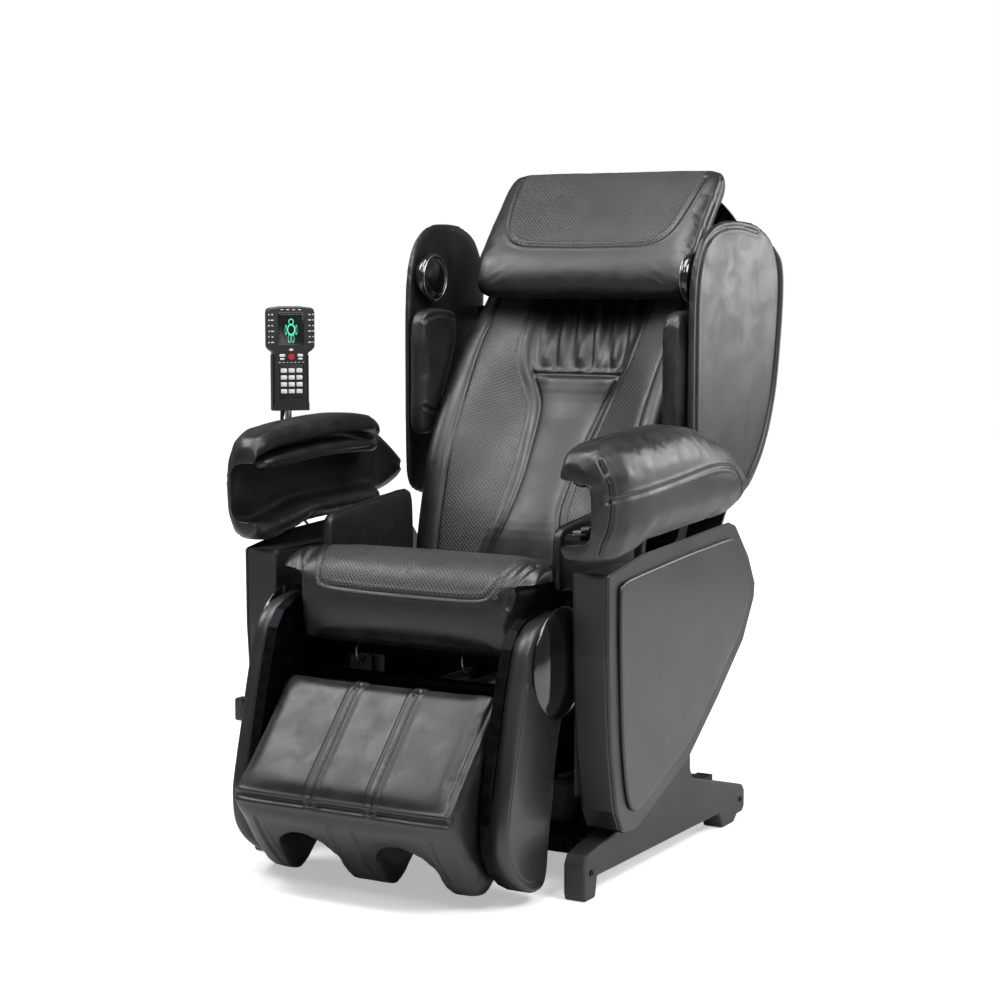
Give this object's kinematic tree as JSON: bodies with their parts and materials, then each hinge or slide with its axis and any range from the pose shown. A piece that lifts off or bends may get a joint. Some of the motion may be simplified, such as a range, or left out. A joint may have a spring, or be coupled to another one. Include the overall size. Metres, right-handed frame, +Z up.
{
  "type": "massage chair",
  "caption": "Upholstered electric massage recliner with side shells, flip-over leg rest, open arm channels, head pillow and a remote on a pole.",
  "frame": {"origin": "middle of the footprint box on the floor", "axes": "+Z up, -Y the way the sitter faces, +X to the sitter's left"},
  "size_m": [0.8274, 1.127, 1.204],
  "materials": {
    "leather": "fine grain",
    "leather_mid": "perforated grain",
    "satin": "satin moulded",
    "gloss": "polished",
    "grey": "moulded",
    "steel": "black powder coat",
    "zinc": "zinc plated",
    "chrome": "polished",
    "rubber": "plain",
    "keys": "moulded",
    "red": "moulded",
    "screen": "polished"
  },
  "bodies": {
    "base": {"base_frame": "steel", "seat_frame": "steel", "seat_cushion": "leather", "power_inlet": "grey", "air_pump": "grey", "control_box": "grey", "leg_motor": "grey", "remote_pole": "chrome", "remote_cable": "rubber", "base_cover_left": "grey", "base_cover_right": "grey", "side_cover_left": "satin", "side_cover_right": "satin", "side_panel_left": "satin", "side_panel_right": "satin", "hip_wing_left": "leather", "hip_wing_right": "leather"},
    "transport_wheel_left": {"wheel_left": "rubber"},
    "transport_wheel_right": {"wheel_right": "rubber"},
    "rocker": {"power_switch": "red"},
    "backrest": {"back_frame": "steel", "back_pad": "leather", "back_shell": "satin", "wing_left": "leather", "wing_right": "leather", "shoulder_pad_left": "leather", "shoulder_pad_right": "leather", "speaker_left": "gloss", "speaker_right": "gloss"},
    "pillow": {"head_pillow": "leather_mid"},
    "carriage": {"massage_carriage": "steel"},
    "screw": {"lead_screw": "zinc"},
    "arm_left": {"armrest_left": "leather", "arm_flap_left": "leather"},
    "arm_right": {"armrest_right": "leather", "arm_flap_right": "leather", "arm_console": "gloss"},
    "key_front": {"arm_key_front": "chrome"},
    "key_rear": {"arm_key_rear": "chrome"},
    "leg_rest": {"leg_frame": "steel", "leg_cover_left": "satin", "leg_cover_right": "satin", "pivot_cap_left": "gloss", "pivot_cap_right": "gloss"},
    "ottoman": {"ottoman_pad": "leather"},
    "latch": {"latch_lever": "satin"},
    "leg_actuator_rod": {"leg_rod": "zinc"},
    "recline_actuator": {"recline_motor": "grey"},
    "recline_actuator_rod": {"recline_rod": "zinc"},
    "remote": {"remote_cradle": "satin", "remote_case": "satin", "remote_screen": "screen"},
    "keypad": {"remote_keypad": "keys"},
    "power_key": {"remote_power_key": "red"},
    "kneader_left": {"roller_arm_left": "grey"},
    "ball_upper_left": {"roller_upper_left": "grey"},
    "ball_lower_left": {"roller_lower_left": "grey"},
    "kneader_right": {"roller_arm_right": "grey"},
    "ball_upper_right": {"roller_upper_right": "grey"},
    "ball_lower_right": {"roller_lower_right": "grey"}
  },
  "joints": [
    {"name": "backrest_recline", "type": "hinge", "parent": "base", "child": "backrest", "pos_m": [0.0187, 0.0355, 0.42], "axis": [-1, 0, 0], "range_deg": [0, 45]},
    {"name": "leg_rest_raise", "type": "hinge", "parent": "base", "child": "leg_rest", "pos_m": [0.0187, -0.3025, 0.384], "axis": [-1, 0, 0], "range_deg": [0, 70]},
    {"name": "ottoman_flip", "type": "hinge", "parent": "leg_rest", "child": "ottoman", "pos_m": [0.0187, -0.4195, 0.177], "axis": [-1, 0, 0], "range_deg": [0, 180]},
    {"name": "latch_turn", "type": "hinge", "parent": "leg_rest", "child": "latch", "pos_m": [-0.2477, -0.4265, 0.276], "axis": [-1, 0, 0], "range_deg": [0, 35]},
    {"name": "pillow_flip", "type": "hinge", "parent": "backrest", "child": "pillow", "pos_m": [0.0187, 0.4575, 1.168], "axis": [-1, 0, 0], "range_deg": [0, 100]},
    {"name": "carriage_travel", "type": "slide", "parent": "backrest", "child": "carriage", "axis": [0, 0.515, 0.8572], "range_m": [0, 0.3]},
    {"name": "screw_turn", "type": "hinge", "parent": "backrest", "child": "screw", "pos_m": [0.0187, 0.35193, 0.7391], "axis": [0, 0.515, 0.8572], "range_deg": [-3, 10803]},
    {"name": "knead_left", "type": "hinge", "parent": "carriage", "child": "kneader_left", "pos_m": [-0.0368, 0.26266, 0.60024], "axis": [-1, 0, 0], "range_deg": [-5, 5]},
    {"name": "ball_upper_left_spin", "type": "hinge", "parent": "kneader_left", "child": "ball_upper_left", "pos_m": [-0.0293, 0.28328, 0.65785], "axis": [-1, 0, 0], "continuous": true},
    {"name": "ball_lower_left_spin", "type": "hinge", "parent": "kneader_left", "child": "ball_lower_left", "pos_m": [-0.0293, 0.22147, 0.55499], "axis": [-1, 0, 0], "continuous": true},
    {"name": "arm_slide_left", "type": "slide", "parent": "base", "child": "arm_left", "axis": [0, 1, 0], "range_m": [0, 0.06]},
    {"name": "wheel_left_spin", "type": "hinge", "parent": "base", "child": "transport_wheel_left", "pos_m": [-0.2478, 0.2875, 0.034], "axis": [-1, 0, 0], "continuous": true},
    {"name": "knead_right", "type": "hinge", "parent": "carriage", "child": "kneader_right", "pos_m": [0.0742, 0.26266, 0.60024], "axis": [-1, 0, 0], "range_deg": [-5, 5]},
    {"name": "ball_upper_right_spin", "type": "hinge", "parent": "kneader_right", "child": "ball_upper_right", "pos_m": [0.0667, 0.28328, 0.65785], "axis": [-1, 0, 0], "continuous": true},
    {"name": "ball_lower_right_spin", "type": "hinge", "parent": "kneader_right", "child": "ball_lower_right", "pos_m": [0.0667, 0.22147, 0.55499], "axis": [-1, 0, 0], "continuous": true},
    {"name": "arm_slide_right", "type": "slide", "parent": "base", "child": "arm_right", "axis": [0, 1, 0], "range_m": [0, 0.06]},
    {"name": "wheel_right_spin", "type": "hinge", "parent": "base", "child": "transport_wheel_right", "pos_m": [0.2852, 0.2875, 0.034], "axis": [-1, 0, 0], "continuous": true},
    {"name": "arm_key_front_press", "type": "slide", "parent": "arm_right", "child": "key_front", "axis": [0, 0, -1], "range_m": [0, 0.001], "stiffness_N_per_m": 400},
    {"name": "arm_key_rear_press", "type": "slide", "parent": "arm_right", "child": "key_rear", "axis": [0, 0, -1], "range_m": [0, 0.001], "stiffness_N_per_m": 400},
    {"name": "leg_actuator_extend", "type": "slide", "parent": "base", "child": "leg_actuator_rod", "axis": [0, -1, 0], "range_m": [0, 0.1085]},
    {"name": "recline_actuator_swing", "type": "hinge", "parent": "base", "child": "recline_actuator", "pos_m": [0.0187, 0.0855, 0.11], "axis": [-1, 0, 0], "range_deg": [0, 7]},
    {"name": "recline_actuator_retract", "type": "slide", "parent": "recline_actuator", "child": "recline_actuator_rod", "axis": [0, -0.206, -0.9785], "range_m": [0, 0.106]},
    {"name": "remote_swivel", "type": "hinge", "parent": "base", "child": "remote", "pos_m": [-0.3923, -0.0945, 0.8], "axis": [0, 0, 1], "range_deg": [-30, 30]},
    {"name": "keypad_press", "type": "slide", "parent": "remote", "child": "keypad", "axis": [-0.7071, 0.7071, 0], "range_m": [0, 0.001], "stiffness_N_per_m": 300},
    {"name": "power_key_press", "type": "slide", "parent": "remote", "child": "power_key", "axis": [-0.7071, 0.7071, 0], "range_m": [0, 0.001], "stiffness_N_per_m": 300},
    {"name": "power_rocker", "type": "hinge", "parent": "base", "child": "rocker", "pos_m": [0.1687, 0.331, 0.07], "axis": [1, 0, 0], "range_deg": [0, 10]}
  ],
  "couplings": [
    {"joint": "arm_slide_left", "follows": "backrest_recline", "m_per_rad": 0.076394},
    {"joint": "arm_slide_right", "follows": "backrest_recline", "m_per_rad": 0.076394},
    {"joint": "recline_actuator_swing", "follows": "backrest_recline", "ratio": 0.15333},
    {"joint": "recline_actuator_retract", "follows": "backrest_recline", "m_per_rad": 0.13433},
    {"joint": "leg_actuator_extend", "follows": "leg_rest_raise", "m_per_rad": 0.088399},
    {"joint": "screw_turn", "follows": "carriage_travel", "rad_per_m": 628.32}
  ]
}
